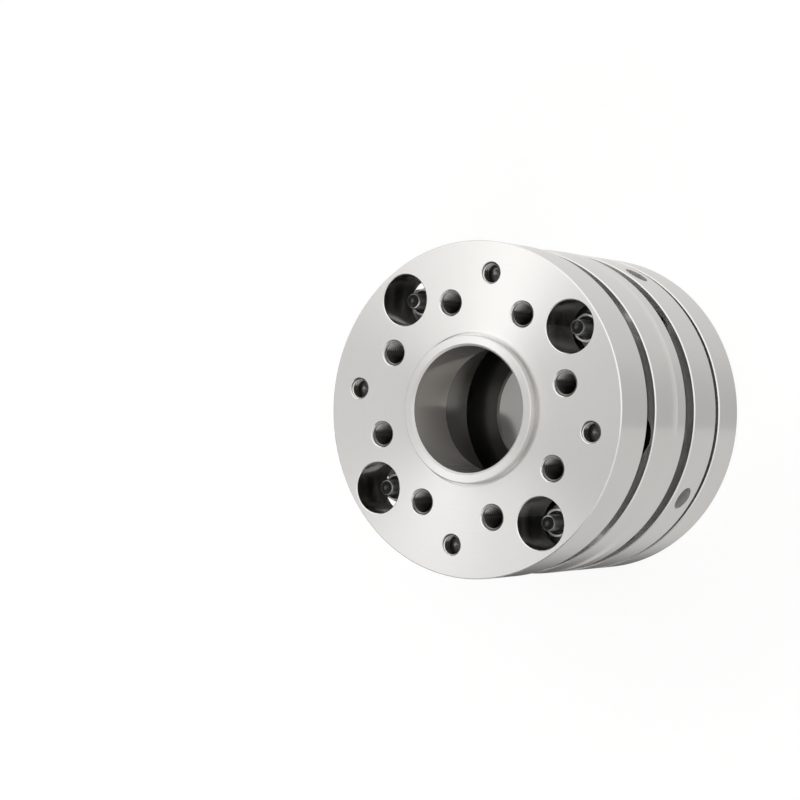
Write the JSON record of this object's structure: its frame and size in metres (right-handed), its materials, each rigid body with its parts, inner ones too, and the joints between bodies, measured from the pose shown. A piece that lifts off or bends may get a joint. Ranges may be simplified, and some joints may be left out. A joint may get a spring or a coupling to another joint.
{
  "type": "disc pack coupling",
  "caption": "Round close-coupled disc-pack shaft coupling: spigoted front flange, centre ring, rear hub and rear flange with tapped bolt circles and a through bore.",
  "frame": {"origin": "centre of the rear flange's rear face, on the coupling's axis", "axes": "+Z along the coupling's axis towards the spigot; +X through one of the pack screws"},
  "size_m": [0.16, 0.16, 0.1272],
  "materials": {
    "ring_steel": "fine-turned, satin",
    "spring_steel": "cold-rolled, smooth",
    "zinc_steel": "zinc-plated, satin",
    "sleeve_steel": "turned, satin",
    "black_steel": "black oxide, slight sheen"
  },
  "bodies": {
    "root": {"front_flange": "ring_steel", "centre_ring": "ring_steel", "rear_hub": "ring_steel", "rear_flange": "ring_steel", "front_lamination_1": "spring_steel", "front_lamination_2": "spring_steel", "front_lamination_3": "spring_steel", "front_lamination_4": "spring_steel", "front_lamination_5": "spring_steel", "front_lamination_6": "spring_steel", "rear_lamination_1": "spring_steel", "rear_lamination_2": "spring_steel", "rear_lamination_3": "spring_steel", "rear_lamination_4": "spring_steel", "rear_lamination_5": "spring_steel", "rear_lamination_6": "spring_steel", "front_sleeve_1": "sleeve_steel", "front_sleeve_2": "sleeve_steel", "front_sleeve_3": "sleeve_steel", "front_sleeve_4": "sleeve_steel", "rear_sleeve_1": "sleeve_steel", "rear_sleeve_2": "sleeve_steel", "rear_sleeve_3": "sleeve_steel", "rear_sleeve_4": "sleeve_steel", "through_bolts": "black_steel", "through_nuts": "black_steel", "front_screws": "black_steel", "rear_screws": "black_steel", "joint_screws": "black_steel", "nut_washers": "zinc_steel", "head_washers": "zinc_steel", "front_spacers": "sleeve_steel", "rear_spacers": "sleeve_steel", "front_screw_washers": "sleeve_steel", "rear_screw_washers": "sleeve_steel"}
  },
  "joints": []
}
